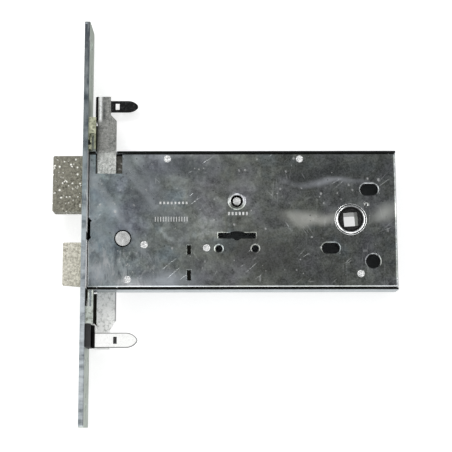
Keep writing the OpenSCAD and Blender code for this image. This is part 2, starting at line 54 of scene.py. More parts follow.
# ------------------------------------------------------------------ node helpers
class Tree:
    """Short calls for building a material's nodes."""

    def __init__(self, mat):
        mat.use_nodes = True
        self.t = mat.node_tree
        self.t.nodes.clear()
        self.coord = self.new("ShaderNodeTexCoord").outputs["Object"]

    def new(self, kind):
        return self.t.nodes.new(kind)

    def put(self, sock, value):
        if value is None:
            return
        if isinstance(value, bpy.types.NodeSocket):
            self.t.links.new(value, sock)
        else:
            sock.default_value = value

    def mapping(self, scale=(1, 1, 1), rot=(0, 0, 0), loc=(0, 0, 0), vec=None):
        n = self.new("ShaderNodeMapping")
        self.put(n.inputs["Vector"], vec or self.coord)
        n.inputs["Scale"].default_value = scale
        n.inputs["Rotation"].default_value = rot
        n.inputs["Location"].default_value = loc
        return n.outputs[0]

    def noise(self, scale, detail=3.0, rough=0.55, vec=None, distort=0.0, colour=False):
        n = self.new("ShaderNodeTexNoise")
        self.put(n.inputs["Vector"], vec or self.coord)
        n.inputs["Scale"].default_value = scale
        n.inputs["Detail"].default_value = detail
        n.inputs["Roughness"].default_value = rough
        n.inputs["Distortion"].default_value = distort
        return n.outputs["Color" if colour else "Fac"]

    def voronoi(self, scale, vec=None, feature="F1", out="Distance", rand=1.0):
        n = self.new("ShaderNodeTexVoronoi")
        n.feature = feature
        self.put(n.inputs["Vector"], vec or self.coord)
        n.inputs["Scale"].default_value = scale
        n.inputs["Randomness"].default_value = rand
        return n.outputs[out]

    def math(self, op, a, b=0.0, clamp=False):
        n = self.new("ShaderNodeMath")
        n.operation = op
        n.use_clamp = clamp
        self.put(n.inputs[0], a)
        self.put(n.inputs[1], b)
        return n.outputs[0]

    def ramp(self, fac, stops, mode="LINEAR"):
        n = self.new("ShaderNodeValToRGB")
        self.put(n.inputs[0], fac)
        r = n.color_ramp
        r.interpolation = mode
        while len(r.elements) < len(stops):
            r.elements.new(0.5)
        for e, (p, c) in zip(r.elements, stops):
            e.position = p
            e.color = (c, c, c, 1) if isinstance(c, (int, float)) else (*c, 1)
        return n.outputs["Color"]

    def remap(self, v, a, b, c=0.0, d=1.0, smooth=False):
        n = self.new("ShaderNodeMapRange")
        n.interpolation_type = "SMOOTHSTEP" if smooth else "LINEAR"
        n.clamp = True
        self.put(n.inputs["Value"], v)
        for k, x in (("From Min", a), ("From Max", b), ("To Min", c), ("To Max", d)):
            n.inputs[k].default_value = x
        return n.outputs["Result"]

    def mix(self, fac, a, b, mode="MIX"):
        n = self.new("ShaderNodeMix")
        n.data_type = "RGBA"
        n.blend_type = mode
        n.clamp_result = False
        self.put(n.inputs[0], fac)
        for i, v in ((6, a), (7, b)):
            if isinstance(v, (int, float)):
                v = (v, v, v, 1)
            elif isinstance(v, tuple) and len(v) == 3:
                v = (*v, 1)
            self.put(n.inputs[i], v)
        return n.outputs[2]

    def axis(self, which, vec=None):
        n = self.new("ShaderNodeSeparateXYZ")
        self.put(n.inputs[0], vec or self.coord)
        return n.outputs["XYZ".index(which)]

    def blob(self, x, z, rx, rz, angle=0.0, wobble=None, power=1.0):
        """1 at (x, z) mm falling softly to 0 at the radii."""
        v = self.mapping(loc=(-x * MM, 0, -z * MM))
        if wobble is not None:
            v = self.vadd(v, wobble)
        v = self.mapping(rot=(0, math.radians(angle), 0), vec=v)
        v = self.mapping(scale=(1 / (rx * MM), 0, 1 / (rz * MM)), vec=v)
        n = self.new("ShaderNodeVectorMath")
        n.operation = "LENGTH"
        self.put(n.inputs[0], v)
        return self.remap(n.outputs["Value"], 1.0, 0.0, 0.0, 1.0, smooth=True)

    def vadd(self, a, b):
        n = self.new("ShaderNodeVectorMath")
        n.operation = "ADD"
        self.put(n.inputs[0], a)
        self.put(n.inputs[1], b)
        return n.outputs[0]

    def wobble(self, scale, amount, detail=2.0):
        """A small random shift of the coordinates, in mm."""
        c = self.noise(scale, detail, colour=True)
        n = self.new("ShaderNodeVectorMath")
        n.operation = "SUBTRACT"
        self.put(n.inputs[0], c)
        n.inputs[1].default_value = (0.5, 0.5, 0.5)
        m = self.new("ShaderNodeVectorMath")
        m.operation = "SCALE"
        self.put(m.inputs[0], n.outputs[0])
        m.inputs["Scale"].default_value = amount * MM * 2
        return m.outputs[0]

    def bump(self, height, strength=0.3, dist=0.0002, normal=None):
        n = self.new("ShaderNodeBump")
        n.inputs["Strength"].default_value = strength
        n.inputs["Distance"].default_value = dist
        self.put(n.inputs["Height"], height)
        if normal is not None:
            self.put(n.inputs["Normal"], normal)
        return n.outputs[0]

    def scratches(self, scale, angle, stretch=22.0, width=0.012, keep=0.55):
        """Thin straight marks lying near one direction in the X-Z plane."""
        v = self.mapping(rot=(0, math.radians(angle), 0))
        v = self.mapping(scale=(1.0 / stretch, 0.2, 1.0), vec=v)
        d = self.voronoi(scale, vec=v, feature="DISTANCE_TO_EDGE")
        line = self.remap(d, 0.0, width, 1.0, 0.0)
        gate = self.noise(scale * 0.35, 2.0, 0.6, vec=self.mapping(loc=(3.1 * scale, 0, 1.7 * scale)))
        gate = self.remap(gate, keep, keep + 0.08)
        return self.math("MULTIPLY", line, gate)

    def line(self, v, lo, hi, soft=0.0003):
        """1 between lo and hi (metres) along a coordinate, soft at both ends."""
        return self.math("MULTIPLY", self.remap(v, lo - soft, lo + soft), self.remap(v, hi + soft, hi - soft))

    def both(self, *vals):
        v = vals[0]
        for w in vals[1:]:
            v = self.math("MULTIPLY", v, w)
        return v

    def finish(self, base, rough, metallic=1.0, normal=None, coat=0.0, aniso=0.0, shade_mask=None):
        """The last argument is a 0 to 1 mask of painted shade: dark places that mirror nothing."""
        p = self.new("ShaderNodeBsdfPrincipled")
        o = self.new("ShaderNodeOutputMaterial")
        self.put(p.inputs["Base Color"], base if not isinstance(base, tuple) else (*base, 1))
        if shade_mask is None:
            self.put(p.inputs["Roughness"], rough)
        if shade_mask is not None:
            metallic = self.math("MULTIPLY", metallic, self.remap(shade_mask, 0, 1, 1, 0))
            self.put(p.inputs["Specular IOR Level"], self.remap(shade_mask, 0, 1, 0.5, 0.0))
            self.put(p.inputs["Roughness"], self.math("MAXIMUM", rough, shade_mask))
        self.put(p.inputs["Metallic"], metallic)
        p.inputs["Coat Weight"].default_value = coat
        p.inputs["Anisotropic"].default_value = aniso
        if normal is not None:
            self.put(p.inputs["Normal"], normal)
        self.t.links.new(p.outputs[0], o.inputs[0])


def material(name):
    m = bpy.data.materials.new(name)
    return m, Tree(m)


# ------------------------------------------------------------------ materials
def cover_steel():
    """Bright rolled sheet with wear, mirroring a dark room; broad patches of painted reflection and painted light and
    shade along the edges are in its colour.
    """
    m, t = material("cover_sheet")
    big = t.noise(20, 3.0, 0.6, vec=t.mapping(scale=(1, 1, 1.6)), distort=0.8)
    mid = t.noise(85, 4.0, 0.62, distort=0.5)
    small = t.noise(330, 3.0, 0.65)
    fine = t.noise(1100, 2.0, 0.7)
    w = t.wobble(30, 9.0)
    x = t.axis("X")
    # darker towards the rear, lighter and bluer towards the face plate
    slope = t.ramp(t.remap(x, 0.0, 0.185), [(0.0, (0.44, 0.52, 0.57)), (0.2, (0.37, 0.41, 0.42)), (0.4, (0.36, 0.375, 0.36)), (0.55, (0.30, 0.315, 0.30)), (0.7, (0.19, 0.20, 0.19)), (1.0, (0.19, 0.20, 0.20))])
    base = t.mix(t.remap(mid, 0.3, 0.72, 0.0, 0.5), slope, (0.5, 0.52, 0.52), "SOFT_LIGHT")
    base = t.mix(0.8, base, t.ramp(big, [(0.3, 0.38), (0.5, 0.5), (0.7, 0.62)]), "OVERLAY")
    base = t.mix(0.75, base, t.ramp(mid, [(0.28, 0.32), (0.5, 0.5), (0.74, 0.70)]), "OVERLAY")
    base = t.mix(0.85, base, t.ramp(small, [(0.32, 0.30), (0.5, 0.5), (0.68, 0.68)]), "OVERLAY")
    base = t.mix(0.6, base, t.ramp(fine, [(0.3, 0.34), (0.5, 0.5), (0.7, 0.66)]), "OVERLAY")
    # weak colour: blue, olive and pink patches
    hue = t.noise(55, 2.0, 0.5, vec=t.mapping(loc=(2, 5, 1)))
    base = t.mix(0.55, base, t.ramp(hue, [(0.32, (0.50, 0.46, 0.55)), (0.45, (0.5, 0.5, 0.5)), (0.55, (0.52, 0.52, 0.44)), (0.68, (0.43, 0.51, 0.56))]), "OVERLAY")
    # a few broad soft patches of painted reflection, light and dark
    for (cx_, cz_, rx_, rz_, an, k, c) in (
            (60, 30, 40, 9, 3, 0.6, (0.17, 0.19, 0.21)), (148, 29, 50, 12, 0, 0.78, (0.10, 0.11, 0.11)),
            (136, 1.5, 25, 6.5, -3, 0.95, (1.0, 1.0, 0.92)), (177, 5, 16, 9, 10, 0.9, (0.86, 0.88, 0.82)),
            (142, 22, 34, 3.4, -4, 0.8, (0.62, 0.64, 0.68)), (45, -36, 34, 8, 4, 0.85, (0.84, 0.90, 0.96)),
            (14, 4, 14, 26, 12, 0.35, (0.62, 0.74, 0.80)), (101, -20, 42, 25, 0, 0.75, (0.15, 0.15, 0.135)),
            (36, 13, 20, 24, -14, 0.62, (0.17, 0.18, 0.21)), (84, 20, 44, 6, 0, 0.35, (0.42, 0.43, 0.41)),
            (9, -31, 20, 14, 0, 0.8, (0.86, 0.93, 0.97)), (30, -37, 13, 6, 0, 0.8, (0.98, 0.98, 1.0)),
            (64, 38, 60, 4, 0, 0.45, (0.62, 0.64, 0.65)), (150, -12, 22, 8, 0, 0.4, (0.13, 0.13, 0.13))):
        base = t.mix(t.math("MULTIPLY", t.blob(cx_, cz_, rx_, rz_, an, w), k), base, c)
    # faint diagonal rubbing near the face plate
    rub = t.noise(70, 3.0, 0.6, vec=t.mapping(scale=(1, 1, 0.12), vec=t.mapping(rot=(0, math.radians(38), 0))))
    rub = t.math("MULTIPLY", t.remap(rub, 0.5, 0.66), t.remap(x, 0.075, 0.03, 0.0, 0.5))
    base = t.mix(rub, base, (0.80, 0.86, 0.90))
    base = t.mix(t.remap(fine, 0.40, 0.62, 0.0, 0.18), base, (0.55, 0.56, 0.56))
    # short fine scratches, specks and small dents
    s = t.math("MAXIMUM", t.scratches(190, 38, 9, 0.018, 0.60), t.scratches(240, -55, 8, 0.018, 0.61))
    s = t.math("MAXIMUM", s, t.math("MULTIPLY", t.scratches(160, 88, 16, 0.012, 0.60), 0.7))
    base = t.mix(t.math("MULTIPLY", s, 0.55), base, (0.95, 0.97, 0.97))
    nick = t.remap(t.voronoi(210, vec=t.vadd(t.mapping(scale=(1, 0.1, 0.8)), t.wobble(500, 0.6))), 0.17, 0.10)
    nick = t.math("MULTIPLY", nick, t.remap(t.noise(70, 2.0, vec=t.mapping(loc=(1, 4, 2))), 0.54, 0.60))
    base = t.mix(t.math("MULTIPLY", nick, 0.85), base, (0.98, 0.98, 0.96))
    z = t.axis("Z")
    # painted light on the edges: a painted highlight along the bent bottom edge, painted shade along the top edge, and
    # a painted highlight along the edge by the face plate, stronger towards the bottom
    base = t.mix(t.math("MULTIPLY", t.remap(z, -0.0389, -0.0392), t.remap(mid, 0.3, 0.7, 0.25, 0.75)), base, (0.85, 0.87, 0.87))
    base = t.mix(t.both(t.remap(z, 0.0388, 0.0391), 0.8), base, (0.03, 0.03, 0.03))
    base = t.mix(t.both(t.remap(x, 0.0042, 0.0038), t.remap(z, 0.03, -0.02, 0.4, 0.85)), base, (1.0, 1.0, 1.0))
    # bright and dark frosty mottling towards the lower left, then specks and pits
    frost = t.noise(170, 4.0, 0.7, vec=t.mapping(scale=(1.0, 1.0, 0.45), loc=(6, 2, 9)), distort=1.5)
    place = t.blob(20, -27, 40, 26, 0, w)
    base = t.mix(t.both(place, t.remap(frost, 0.53, 0.60), 0.75), base, (0.98, 0.99, 1.0))
    base = t.mix(t.both(place, t.remap(frost, 0.46, 0.38), 0.6), base, (0.10, 0.11, 0.14))
    dots = t.remap(t.voronoi(300, vec=t.vadd(t.mapping(scale=(1, 0.1, 1)), t.wobble(400, 0.5))), 0.15, 0.09)
    dots = t.math("MULTIPLY", dots, t.remap(t.noise(120, 2.0, vec=t.mapping(loc=(7, 1, 5))), 0.56, 0.60))
    base = t.mix(t.math("MULTIPLY", dots, 0.8), base, (1.0, 1.0, 0.97))
    pits = t.remap(t.voronoi(260, vec=t.mapping(scale=(1, 0.1, 1), loc=(0.3, 0, 0.7))), 0.16, 0.08)
    pits = t.math("MULTIPLY", pits, t.remap(t.noise(90, 2.0, vec=t.mapping(loc=(2, 8, 5))), 0.54, 0.58))
    base = t.mix(t.math("MULTIPLY", pits, 0.6), base, (0.05, 0.05, 0.05))
    rough = t.remap(mid, 0.3, 0.75, 0.24, 0.42)
    h = t.math("ADD", t.math("MULTIPLY", mid, 0.7), t.math("MULTIPLY", small, 0.25))
    nrm = t.bump(h, 0.35, 0.0003)
    nrm = t.bump(t.math("MAXIMUM", s, nick), 0.35, 0.00012, nrm)
    t.finish(base, rough, 1.0, nrm)
    return m


def plated(name, dark, light, rough=(0.3, 0.5), scale=60, grain=(1, 1, 1), speck=0.0, metallic=0.9, bump=0.2, tint=None, scratch=0.4, case_shade_colour=None, reach=0.0066):
    """Plated or turned steel with patches, grain and light scratches, and, when a shade colour is given, painted shade
    inside the case and on the tray's open rim.
    """
    m, t = material(name)
    a = t.noise(scale, 4.0, 0.6, distort=0.5)
    g = t.noise(scale * 9, 3.0, 0.65, vec=t.mapping(scale=grain))
    base = t.ramp(a, [(0.3, dark), (0.7, light)])
    base = t.mix(t.remap(g, 0.35, 0.7, 0.0, 0.5), base, tuple(min(1, c * 1.25) for c in light))
    if tint is not None:
        base = t.mix(t.remap(t.noise(scale * 0.5, 2.0), 0.4, 0.68, 0.0, 0.6), base, tint)
    if speck:
        v = t.remap(t.voronoi(scale * 12), 0.25, 0.12)
        base = t.mix(t.math("MULTIPLY", v, speck), base, (0.9, 0.9, 0.88))
    s = t.scratches(scale * 2.6, 70, 14, 0.014, 0.56)
    base = t.mix(t.math("MULTIPLY", s, scratch), base, tuple(min(1, c * 1.4) for c in light))
    case_shade = None
    if case_shade_colour is not None:
        # painted shade between the two walls of the case, which also mirrors nothing
        y = t.math("ABSOLUTE", t.axis("Y"))
        z = t.math("ABSOLUTE", t.axis("Z"))
        case_shade = t.both(t.remap(y, reach + 0.00008, reach - 0.00005), t.remap(z, 0.04005, 0.03995))
        # painted shade on the open rim of the tray along its top and bottom
        case_shade = t.math("MAXIMUM", case_shade, t.both(t.remap(t.axis("Y"), -0.00715, -0.00725), t.remap(z, 0.0398, 0.0399), t.remap(z, 0.0411, 0.0410)))
        base = t.mix(case_shade, base, case_shade_colour)
    r = t.remap(a, 0.3, 0.75, rough[0], rough[1])
    n = t.bump(t.math("ADD", t.math("MULTIPLY", g, 0.5), t.math("MULTIPLY", a, 0.5)), bump, 0.0002)
    n = t.bump(s, 0.3, 0.00008, n)
    t.finish(base, r, metallic, n, shade_mask=case_shade)
    return m


def zinc_plate():
    """The long face plate: zinc, pale green on its back; its front edge is painted pale at the bottom and dark towards
    the top as painted light, with painted shade and a painted highlight where it meets the case.
    """
    m, t = material("face_plate_zinc")
    x, y, z = t.axis("X"), t.axis("Y"), t.axis("Z")
    a = t.noise(60, 4.0, 0.6, distort=0.6)
    g = t.noise(420, 3.0, 0.65, vec=t.mapping(scale=(1, 1, 0.25)))
    back = t.ramp(a, [(0.3, (0.40, 0.45, 0.41)), (0.55, (0.56, 0.62, 0.55)), (0.72, (0.66, 0.72, 0.70))])
    back = t.mix(t.remap(t.noise(190, 4.0, 0.7, vec=t.mapping(scale=(1, 1, 0.4), loc=(1, 2, 3))), 0.5, 0.66, 0.0, 0.7), back, (0.22, 0.25, 0.20))
    # front edge: painted light, pale at the bottom and dark at the top, for the light from below
    front = t.ramp(t.remap(z, -0.03, 0.11), [(0.0, (0.66, 0.72, 0.76)), (0.35, (0.44, 0.52, 0.55)), (0.6, (0.26, 0.31, 0.33)), (1.0, (0.12, 0.13, 0.14))])
    front = t.mix(t.remap(t.noise(260, 3.0, 0.7, vec=t.mapping(scale=(0.2, 1, 0.5), loc=(4, 1, 2))), 0.42, 0.66, 0.0, 0.75), front, (0.07, 0.09, 0.11))
    side = t.remap(y, -0.0118, -0.0122)
    base = t.mix(side, back, front)
    base = t.mix(t.remap(g, 0.45, 0.7, 0.0, 0.35), base, (0.80, 0.85, 0.85))
    # painted shade along the rolled inner edge of the front face, painted shadow on the back in two bands beside the
    # lower bracket and the lower slide, and painted shade on the inner face behind the cover's edge and in a short band
    # below the middle
    w = t.wobble(200, 0.4)
    zz = t.axis("Z", t.vadd(t.coord, w))
    inner = t.remap(x, 0.0026, 0.0029)
    dark = t.both(side, t.remap(x, 0.0024, 0.0028), 0.5)
    dark = t.math("MAXIMUM", dark, t.both(inner, t.line(zz, -0.0745, -0.0612)))
    dark = t.math("MAXIMUM", dark, t.both(inner, t.line(zz, -0.0512, -0.0408)))
    shade = t.both(inner, t.line(z, -0.0408, 0.0408), t.remap(y, -0.0076, -0.0072))
    dark = t.math("MAXIMUM", dark, shade)
    dark = t.math("MAXIMUM", dark, t.both(inner, t.line(z, -0.0125, -0.0075, 0.0006)))
    # painted highlight on the inner face in front of the cover, bright below and darker towards the top
    gap = t.both(inner, t.line(z, -0.0408, 0.0408), t.remap(y, -0.0072, -0.0076))
    base = t.mix(gap, base, t.ramp(t.remap(z, -0.03, 0.03), [(0.0, 0.95), (0.5, 0.85), (1.0, 0.45)]))
    base = t.mix(dark, base, (0.012, 0.013, 0.013))
    s = t.scratches(150, 84, 14, 0.014, 0.56)
    base = t.mix(t.math("MULTIPLY", s, 0.4), base, (0.9, 0.93, 0.93))
    n = t.bump(t.math("ADD", t.math("MULTIPLY", g, 0.5), t.math("MULTIPLY", a, 0.5)), 0.25, 0.0002)
    metal = t.both(t.remap(z, -0.03, 0.05, 0.45, 0.9), t.remap(side, 0, 1, 1.0, 0.9), t.remap(gap, 0, 1, 1.0, 0.3))
    t.finish(base, t.remap(a, 0.3, 0.75, 0.24, 0.40), metal, n, shade_mask=dark)
    return m


def bracket_zinc():
    """Guide brackets: dull yellow-green plating, with painted shade in the cuts, on the side towards the slides and at
    the back, and a painted reflection in the lower bracket's cut.
    """
    m, t = material("bracket_zinc")
    x, z = t.axis("X"), t.math("ABSOLUTE", t.axis("Z"))
    low = t.remap(t.axis("Z"), 0.01, -0.01)
    a = t.noise(130, 4.0, 0.65, distort=0.5)
    base = t.ramp(a, [(0.30, (0.20, 0.21, 0.13)), (0.5, (0.40, 0.42, 0.30)), (0.7, (0.66, 0.67, 0.50))])
    base = t.mix(t.math("MULTIPLY", low, 0.8), base, t.ramp(a, [(0.3, (0.52, 0.58, 0.54)), (0.7, (0.82, 0.87, 0.84))]))
    base = t.mix(t.remap(t.noise(420, 3.0, 0.7), 0.5, 0.64, 0.0, 0.7), base, (0.12, 0.12, 0.09))
    # painted shade on the side towards the slides and in the lower bracket's front cut
    dark = t.remap(x, 0.00735, 0.0075)
    y = t.axis("Y")
    dark = t.math("MAXIMUM", dark, t.both(low, t.remap(y, -0.0096, -0.0099), t.remap(z, 0.0512, 0.0508), t.remap(x, 0.0044, 0.0042)))
    # painted reflection: a near-white patch on the lower bracket's rear cheek, seen through the cut
    base = t.mix(t.both(low, t.remap(y, -0.0099, -0.0096), t.remap(x, 0.0050, 0.0046)), base, (0.97, 0.98, 0.97))
    # more painted shade in the upper bracket's cut and at the back
    dark = t.math("MAXIMUM", dark, t.both(t.remap(low, 0, 1, 1, 0), t.line(z, 0.0440, 0.0472), t.remap(t.noise(300, 2.0, 0.6), 0.50, 0.55)))
    dark = t.math("MAXIMUM", dark, t.both(t.remap(t.axis("Y"), 0.0094, 0.0098), t.remap(t.axis("Y"), 0.0113, 0.0112), t.remap(x, 0.0050, 0.0056)))
    base = t.mix(dark, base, (0.014, 0.014, 0.011))
    n = t.bump(a, 0.5, 0.0003)
    t.finish(base, t.remap(a, 0.3, 0.7, 0.35, 0.55), t.remap(low, 0, 1, 0.75, 0.35), n, shade_mask=dark)
    return m


def slide_plating(name, upper):
    """Mottled zinc on the rod slides, with light and shade painted in: the upper one painted dull with a near-black
    tongue as painted shade and painted dark reflection, the lower one painted almost white as painted light.
    """
    m, t = material(name)
    x, y, z = t.axis("X"), t.axis("Y"), t.axis("Z")
    a = t.noise(120, 4.0, 0.6, distort=0.4)
    g = t.noise(620 if upper else 420, 4.0, 0.72)
    f = t.noise(1500, 2.0, 0.7)
    if upper:
        # upper slide: painted dull grey, standing in for the weaker light up there
        base = t.ramp(g, [(0.34, (0.13, 0.135, 0.13)), (0.5, (0.27, 0.275, 0.26)), (0.66, (0.46, 0.465, 0.44))])
        base = t.mix(t.remap(a, 0.34, 0.66, 0.0, 0.5), base, (0.34, 0.34, 0.32))
        low = t.remap(t.axis("Z", t.vadd(t.coord, t.wobble(300, 1.2))), 0.0425, 0.0385)
        pale = t.ramp(g, [(0.34, (0.34, 0.35, 0.33)), (0.5, (0.62, 0.64, 0.61)), (0.64, (0.88, 0.90, 0.87))])
        base = t.mix(t.math("MULTIPLY", low, 0.85), base, pale)
        # painted highlight along the bend of the neck, painted shade beside it and on the web's left side
        neck = t.remap(z, 0.0585, 0.0610)
        base = t.mix(t.both(neck, t.line(x, 0.0088, 0.0103, 0.0006)), base, (0.92, 0.93, 0.92))
        base = t.mix(t.both(neck, t.line(x, 0.0107, 0.0127, 0.0009), t.remap(a, 0.4, 0.6, 0.3, 1.0)), base, (0.07, 0.075, 0.075))
        dark = t.both(neck, t.remap(x, 0.0084, 0.0080))
        dark = t.math("MAXIMUM", dark, t.both(t.remap(neck, 0, 1, 1, 0), t.remap(x, 0.0087, 0.0083), 0.6))
        # the tongue: painted near black and kept from mirroring, a painted dark reflection
        tongue = t.both(t.remap(x, 0.0120, 0.0122), t.remap(y, 0.0074, 0.0077))
        tongue_shade = t.ramp(g, [(0.36, (0.012, 0.012, 0.013)), (0.55, (0.035, 0.036, 0.038)), (0.68, (0.11, 0.11, 0.115))])
        base = t.mix(tongue, base, tongue_shade)
        tongue_unlit = t.both(tongue, t.remap(g, 0.5, 0.66, 1.0, 0.6))
        dark = t.math("MAXIMUM", dark, t.math("MULTIPLY", tongue_unlit, 0.85))
        metallic = 0.62
    else:
        # lower slide: painted almost white, standing in for the strong light from below
        base = t.ramp(g, [(0.36, (0.50, 0.51, 0.49)), (0.5, (0.95, 0.96, 0.94)), (0.64, (1.0, 1.0, 0.99))])
        base = t.mix(t.remap(a, 0.34, 0.66, 0.0, 0.35), base, (0.90, 0.91, 0.89))
        az = t.math("ABSOLUTE", z)
        tongue = t.remap(y, -0.0077, -0.0079)
        base = t.mix(t.both(tongue, t.remap(a, 0.3, 0.7, 0.75, 1.0)), base, (0.97, 0.975, 0.96))
        # painted shade along the rounded edge of the tongue: distance to its outline
        q = t.math("ABSOLUTE", t.math("SUBTRACT", az, 0.07055))
        dx = t.math("MAXIMUM", t.math("SUBTRACT", x, 0.026475), 0.0)
        far = t.math("SQRT", t.math("ADD", t.math("MULTIPLY", dx, dx), t.math("POWER", t.math("ADD", q, 0.00309), 2.0)))
        arc = t.math("SUBTRACT", 0.00734, far)
        nx = t.math("SUBTRACT", x, 0.030675)
        nose = t.math("SUBTRACT", 0.002125, t.math("SQRT", t.math("ADD", t.math("MULTIPLY", nx, nx), t.math("MULTIPLY", q, q))))
        nose = t.math("ADD", nose, t.remap(x, 0.0322, 0.0324, 1.0, 0.0))
        rim = t.remap(t.math("MINIMUM", arc, nose), 0.00062, 0.00015)
        base = t.mix(t.both(tongue, rim), base, (0.05, 0.05, 0.052))
        # painted shade on the slide behind the tongue, right of its root
        base = t.mix(t.both(t.remap(tongue, 0, 1, 1, 0), t.remap(x, 0.0183, 0.0188), 0.8), base, (0.16, 0.16, 0.17))
        # shade mask: the painted shade of the tongue's edge and of the web's left side
        dark = t.both(tongue, t.remap(rim, 0.6, 1.0, 0.0, 0.6))
        dark = t.math("MAXIMUM", dark, t.both(t.remap(y, -0.0030, -0.0050), t.remap(az, 0.0616, 0.0619), t.remap(x, 0.00872, 0.00845)))
        metallic = 0.05
    base = t.mix(t.remap(f, 0.56, 0.66, 0.0, 0.5 if upper else 0.25), base, (0.03, 0.03, 0.03) if upper else (0.40, 0.40, 0.39))
    base = t.mix(dark, base, (0.012, 0.012, 0.012))
    n = t.bump(t.math("ADD", g, t.math("MULTIPLY", f, 0.4)), 0.45, 0.00025)
    t.finish(base, t.remap(a, 0.3, 0.7, 0.38, 0.55), metallic, n, shade_mask=dark)
    return m


def turned(name, rings, low, high, metallic=1.0, rough=(0.16, 0.3), face=None):
    """Turned steel around the spindle axis, with painted highlights and painted shade as rings of (inner radius, outer
    radius, colour, dull) in mm; dull is how much of a ring mirrors nothing.
    """
    m, t = material(name)
    x, z = t.math("SUBTRACT", t.axis("X"), 0.157), t.axis("Z")
    r = t.math("SQRT", t.math("ADD", t.math("MULTIPLY", x, x), t.math("MULTIPLY", z, z)))
    a = t.noise(220, 3.0, 0.6)
    base = t.ramp(a, [(0.3, low), (0.7, high)])
    dull = None
    for (r0, r1, c, d) in rings:
        k = t.line(r, r0 * MM, r1 * MM, 0.00006)
        if face is not None:
            k = t.both(k, t.remap(t.math("ABSOLUTE", t.axis("Y")), face * MM, (face + 0.1) * MM))
        base = t.mix(k, base, c)
        k = t.math("MULTIPLY", k, d)
        dull = k if dull is None else t.math("MAXIMUM", dull, k)
    base = t.mix(t.remap(t.noise(900, 2.0, 0.7), 0.5, 0.66, 0.0, 0.5), base, (0.08, 0.08, 0.08))
    t.finish(base, t.remap(a, 0.3, 0.7, rough[0], rough[1]), metallic, t.bump(a, 0.15, 0.0002), shade_mask=dull)
    return m


def rivet_steel():
    """Hammered rivet ends: bright uneven faces with dark pits."""
    m, t = material("rivet_steel")
    a = t.noise(700, 3.0, 0.7, distort=1.2)
    b = t.noise(1600, 2.0, 0.7)
    base = t.ramp(a, [(0.36, (0.22, 0.225, 0.23)), (0.5, (0.78, 0.79, 0.79)), (0.62, (1.0, 1.0, 0.98))])
    base = t.mix(t.remap(b, 0.36, 0.46, 0.6, 0.0), base, (0.18, 0.18, 0.18))
    n = t.bump(t.math("ADD", a, t.math("MULTIPLY", b, 0.3)), 0.9, 0.0005)
    # painted shade on the shank between the walls of the case, which also mirrors nothing
    y = t.math("ABSOLUTE", t.axis("Y"))
    case_shade = t.remap(y, 0.0068, 0.0066)
    base = t.mix(case_shade, base, (0.05, 0.05, 0.048))
    t.finish(base, t.remap(a, 0.35, 0.65, 0.5, 0.3), 0.45, n, shade_mask=case_shade)
    return m


def cast(name, dark, light, speck_col, speck_amount, scale=700, metallic=0.55, rough=(0.45, 0.75), size=(0.26, 0.15), keep=0.5):
    """Cast surface: pitted grain with small bright facets."""
    m, t = material(name)
    a = t.noise(scale * 0.16, 4.0, 0.6)
    g = t.noise(scale, 4.0, 0.7)
    base = t.ramp(g, [(0.36, dark), (0.62, light)])
    base = t.mix(t.remap(a, 0.35, 0.7, 0.0, 0.45), base, tuple(c * 0.8 for c in light))
    v = t.voronoi(scale * 0.72)
    spots = t.remap(v, size[0], size[1])
    pick = t.remap(t.noise(scale * 0.5, 2.0, vec=t.mapping(loc=(5, 3, 1))), keep, keep + 0.08)
    spots = t.math("MULTIPLY", spots, pick)
    base = t.mix(t.math("MULTIPLY", spots, speck_amount), base, speck_col)
    # painted shade on the part behind the face plate, inside the case
    base = t.mix(t.remap(t.axis("X"), 0.0, 0.004, 0.0, 0.75), base, (0.03, 0.03, 0.028))
    r = t.remap(g, 0.3, 0.7, rough[1], rough[0])
    n = t.bump(t.math("ADD", g, t.math("MULTIPLY", spots, 0.5)), 0.75, 0.00035)
    t.finish(base, r, metallic, n)
    return m


